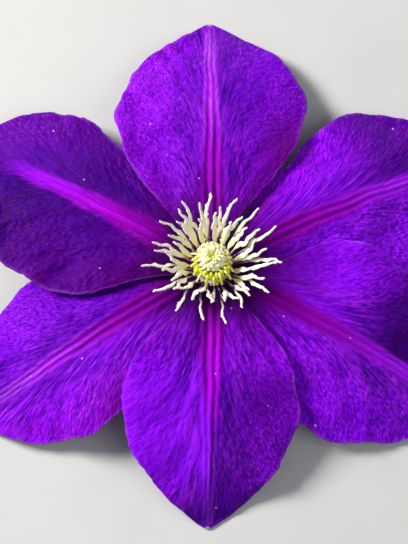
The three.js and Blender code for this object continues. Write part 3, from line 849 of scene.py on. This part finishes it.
def blunt_style(rod, heading, root_radius, tip_radius, tip, width, droop, green, rng):
    sway = rng.uniform(-0.35, 0.35)
    reach_out = tip_radius - root_radius + rng.uniform(-0.2, 0.25)

    def path(share):
        rise = (tip - STYLE_FOOT) * (1 - np.clip(1 - share, 0, 1) ** 2.4)
        return (root_radius + reach_out * np.clip(share, 0, 1) ** 2.2,
                STYLE_FOOT + rise - droop * ease(share, 0.6, 1), sway * share)

    def across(share, on_left):
        return width * (0.8 + 0.25 * ease(share, 0.3, 0.8))

    def depth(share):
        return np.full_like(share, 0.75 * width)

    def twist(share):
        return sway * share

    return bend_copy(rod, heading, path, across, depth, twist, {"green": green})


style_draw = draw_from(5309)
style_rng = np.random.default_rng(28)
rod = straight_rod(sides=10, rings=16)
bpy.ops.object.select_all(action="DESELECT")
bpy.ops.mesh.primitive_cylinder_add(vertices=32, radius=CORE_RADIUS * MM, depth=CORE_DEPTH * MM,
                                    location=axis + Vector((0, 0, (RING_BASE + CORE_DEPTH / 2) * MM)))
seed_heads = bpy.context.object
bpy.ops.object.transform_apply(location=True)
soften = seed_heads.modifiers.new("round shoulder", "BEVEL")
soften.width = CORE_SHOULDER * MM
soften.segments = 5
bpy.ops.object.modifier_apply(modifier="round shoulder")
for name, value in (("share", 0.7), ("green", 0.3)):
    set_attribute(seed_heads.data, name, np.full(len(seed_heads.data.vertices), value))
parts = [seed_heads]
for count, root_radius, tip_radius, top, width, droop, green in STYLE_ROUNDS:
    for index in range(count):
        heading = math.radians((index + 0.3 * next(style_draw)) * 360 / count)
        tip = top + 0.2 * next(style_draw)
        parts.append(blunt_style(rod, heading, root_radius, tip_radius, tip, width, droop, green, style_rng))
bpy.data.objects.remove(rod)
styles = join_as("styles", parts)

pale, tree, shader = new_material("pale downy styles", roughness=0.65, specular=0.2)
share = shade_from(tree, "share")
down = add_noise(tree, 2200.0)
colour = add_layers(tree, (0.80, 0.82, 0.12), (
    ((1.0, 0.97, 0.50), between(tree, share, 0.3, 0.7)),
    ((1.0, 1.0, 0.66), between(tree, share, 0.7, 0.95)),
    ((0.62, 0.66, 0.06), shade_from(tree, "green")),
    ((0.85, 0.84, 0.40), between(tree, down, 0.6, 0.8)),
))
tree.links.new(colour, shader.inputs["Base Color"])
add_relief(tree, shader, down, strength=0.4, distance=0.00008)
shader.inputs["Subsurface Weight"].default_value = 0.4
shader.inputs["Subsurface Radius"].default_value = (0.002, 0.002, 0.001)
styles.data.materials.append(pale)
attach(styles, "root")
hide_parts("pistils")

# ------------------------------------------------------------------------------------- stalk
# A green stalk, ribbed and flushed with purple, rises under the flower and widens into the disc that
# carries every whorl. It bends over to lie on the table and ends in a slanting cut. Silvery down
# covers it.
STALK_RADIUS = 1.25
STALK_RIBS = 8
RIB_TOP = 0.92                 # the ribs' crests, as a share of the stalk's radius
RIB_HALF = 0.05                # half the depth of the grooves between them
STALK_BEND = 7.8
STALK_CUT = 34.0
CUT_SLANT = 0.9
STALK_TOP = 13.4
NECK = 2.4                     # the first step of the straight piece above the bend
LYING_STEPS = (3.0, 4.4, 5.6, 6.4)
PAST_CUT = 2.0                 # made this much too long, then cut
HAIR_COUNT = 620
HAIR_LENGTH = 0.55
HAIR_RADIUS = 0.035
HAIR_ROOT = 0.03               # how deep the hairs are sunk in
HAIR_CLEARANCE = 0.03          # hairs that would end lower are left out
DISC_FOOT = (1.1, 11.0)
DISC_STEPS = ((1.7, 11.4), (2.4, 12.0), (3.2, 12.4), (3.9, 12.7), (4.5, 13.0), (4.78, 13.4), (4.8, 14.0),
              (4.8, 15.0), (4.65, 15.3), (4.3, 15.4))
lying_height = STALK_RADIUS * math.cos(math.pi / STALK_RIBS)
bend_height = STALK_BEND + lying_height


def rib_share(around):
    """The stalk's radius in a direction, as a share of its full radius."""
    return RIB_TOP - RIB_HALF + RIB_HALF * math.cos(STALK_RIBS * around)


bpy.ops.object.select_all(action="DESELECT")
bpy.ops.mesh.primitive_circle_add(vertices=40, radius=STALK_RADIUS * MM, fill_type="NGON",
                                  location=axis + Vector((0, 0, STALK_TOP * MM)))
stem = bpy.context.object
bpy.ops.object.transform_apply(location=True)
for corner in stem.data.vertices:
    sideways, forwards = corner.co.x - axis.x, corner.co.y - axis.y
    ribbed = rib_share(math.atan2(forwards, sideways))
    corner.co.x = axis.x + sideways * ribbed
    corner.co.y = axis.y + forwards * ribbed
bpy.ops.object.mode_set(mode="EDIT")
bpy.ops.mesh.select_mode(type="VERT")
bpy.ops.mesh.select_all(action="SELECT")
for length in (NECK, STALK_TOP - NECK - bend_height):
    bpy.ops.mesh.extrude_region_move(TRANSFORM_OT_translate={"value": (0, 0, -length * MM)})
bpy.ops.mesh.spin(steps=16, angle=math.pi / 2, axis=(1, 0, 0),
                  center=axis + Vector((0, -STALK_BEND * MM, bend_height * MM)))
for length in (*LYING_STEPS, STALK_CUT + PAST_CUT - STALK_BEND - sum(LYING_STEPS)):
    bpy.ops.mesh.extrude_region_move(TRANSFORM_OT_translate={"value": (0, -length * MM, 0)})
bpy.ops.mesh.select_all(action="SELECT")
bpy.ops.mesh.remove_doubles(threshold=0.00001)
bpy.ops.mesh.bisect(plane_co=axis + Vector((0, -STALK_CUT * MM, lying_height * MM)),
                    plane_no=(0, -1, CUT_SLANT), clear_outer=True, use_fill=True)
bpy.ops.mesh.select_all(action="SELECT")
bpy.ops.mesh.normals_make_consistent(inside=False)
bpy.ops.object.mode_set(mode="OBJECT")

# the disc under the flower, drawn out ring by ring
bpy.ops.object.select_all(action="DESELECT")
bpy.ops.mesh.primitive_circle_add(vertices=40, radius=DISC_FOOT[0] * MM, fill_type="NGON",
                                  location=axis + Vector((0, 0, DISC_FOOT[1] * MM)))
disc = bpy.context.object
bpy.ops.object.transform_apply(location=True)
bpy.ops.object.mode_set(mode="EDIT")
bpy.ops.mesh.select_all(action="SELECT")
ring_radius, ring_height = DISC_FOOT
for radius, height in DISC_STEPS:
    bpy.ops.mesh.extrude_region_move(TRANSFORM_OT_translate={"value": (0, 0, (height - ring_height) * MM)})
    bpy.ops.transform.resize(value=(radius / ring_radius, radius / ring_radius, 1),
                             center_override=axis + Vector((0, 0, height * MM)))
    ring_radius, ring_height = radius, height
bpy.ops.mesh.select_all(action="SELECT")
bpy.ops.mesh.normals_make_consistent(inside=False)
bpy.ops.object.mode_set(mode="OBJECT")
bpy.ops.object.shade_smooth_by_angle(angle=math.radians(60))
bpy.ops.object.select_all(action="DESELECT")
stem.select_set(True)
bpy.context.view_layer.objects.active = stem
bpy.ops.object.shade_smooth_by_angle(angle=math.radians(60))

# the cut end, with its rim pressed back
cut_facing = Vector((0, -1, CUT_SLANT)).normalized()
for corner in stem.data.vertices:
    corner.select = False
for edge in stem.data.edges:
    edge.select = False
for face in stem.data.polygons:
    face.select = face.normal.dot(cut_facing) > 0.999 and face.center.y < axis.y - (STALK_CUT - 2.0) * MM
bpy.ops.object.mode_set(mode="EDIT")
bpy.ops.mesh.select_mode(type="FACE")
bpy.ops.mesh.inset(thickness=0.16 * MM, depth=0.02 * MM)
bpy.ops.mesh.inset(thickness=0.3 * MM, depth=-0.12 * MM)
bpy.ops.object.mode_set(mode="OBJECT")
pith_faces = [face.index for face in stem.data.polygons if face.select]

bpy.ops.object.select_all(action="DESELECT")
bpy.ops.mesh.primitive_cone_add(vertices=3, radius1=HAIR_RADIUS * MM, radius2=0, depth=HAIR_LENGTH * MM)
hair = bpy.context.object
hair.data.transform(Matrix.Translation((0, 0, HAIR_LENGTH / 2 * MM)))
down_rng = np.random.default_rng(77)
down = []
for index in range(HAIR_COUNT):
    run = down_rng.uniform(0.0, 1.0)
    around = down_rng.uniform(0, 2 * math.pi)
    skin_radius = STALK_RADIUS * rib_share(around) - HAIR_ROOT
    arc = STALK_BEND * math.pi / 2
    distance = run * (arc + STALK_CUT - STALK_BEND - 1.5)
    if distance < arc:
        angle = distance / STALK_BEND
        centre = Vector((0, -STALK_BEND * (1 - math.cos(angle)), bend_height - STALK_BEND * math.sin(angle)))
        lifted = Vector((0, math.cos(angle), math.sin(angle)))
    else:
        centre = Vector((0, -STALK_BEND - (distance - arc), lying_height))
        lifted = Vector((0, 0, 1))
    outwards = Vector((1, 0, 0)) * math.sin(around) + lifted * math.cos(around)
    place = centre + outwards * skin_radius
    length = down_rng.uniform(0.5, 1.0)
    grown = (outwards + 0.5 * Vector(down_rng.uniform(-1, 1, 3))).normalized()
    if place.z + grown.z * HAIR_LENGTH * length < HAIR_CLEARANCE:
        continue
    copied = hair.copy()
    copied.data = hair.data.copy()
    bpy.context.collection.objects.link(copied)
    facing = grown.to_track_quat("Z", "Y").to_matrix().to_4x4()
    copied.data.transform(Matrix.Translation(axis + place * MM) @ facing @ Matrix.Scale(length, 4))
    down.append(copied)
bpy.data.objects.remove(hair)

green, tree, shader = new_material("ribbed green stalk", roughness=0.5, specular=0.35)
streaks = add_noise(tree, 420.0, 4.0)
colour = add_layers(tree, (0.10, 0.17, 0.025), (
    ((0.20, 0.30, 0.06), between(tree, streaks, 0.35, 0.65)),
    ((0.13, 0.035, 0.075), between(tree, add_noise(tree, 110.0), 0.48, 0.7)),
))
tree.links.new(colour, shader.inputs["Base Color"])
add_relief(tree, shader, streaks, strength=0.4, distance=0.0001)
pith, tree, shader = new_material("pale pith at the cut", roughness=0.8, specular=0.15)
pores = add_node(tree, "ShaderNodeTexVoronoi", Vector=object_place(tree), Scale=3600.0).outputs["Distance"]
colour = blend_colour(tree, (0.52, 0.50, 0.26), (0.72, 0.72, 0.48), between(tree, pores, 0.2, 0.6))
tree.links.new(colour, shader.inputs["Base Color"])
silver, tree, shader = new_material("silvery down", roughness=0.4, specular=0.4)
colour = blend_colour(tree, (0.62, 0.64, 0.52), (0.85, 0.86, 0.80), add_noise(tree, 900.0))
tree.links.new(colour, shader.inputs["Base Color"])

for part in (stem, disc):
    part.data.materials.append(green)
stem.data.materials.append(pith)
for index in pith_faces:
    stem.data.polygons[index].material_index = 1
for part in down:
    part.data.materials.append(silver)
bpy.ops.object.select_all(action="DESELECT")
for part in (disc, *down, stem):
    part.select_set(True)
bpy.context.view_layer.objects.active = stem
bpy.ops.object.join()
stem.name = "downy_stalk"
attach(stem, "root")
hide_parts("stalk")
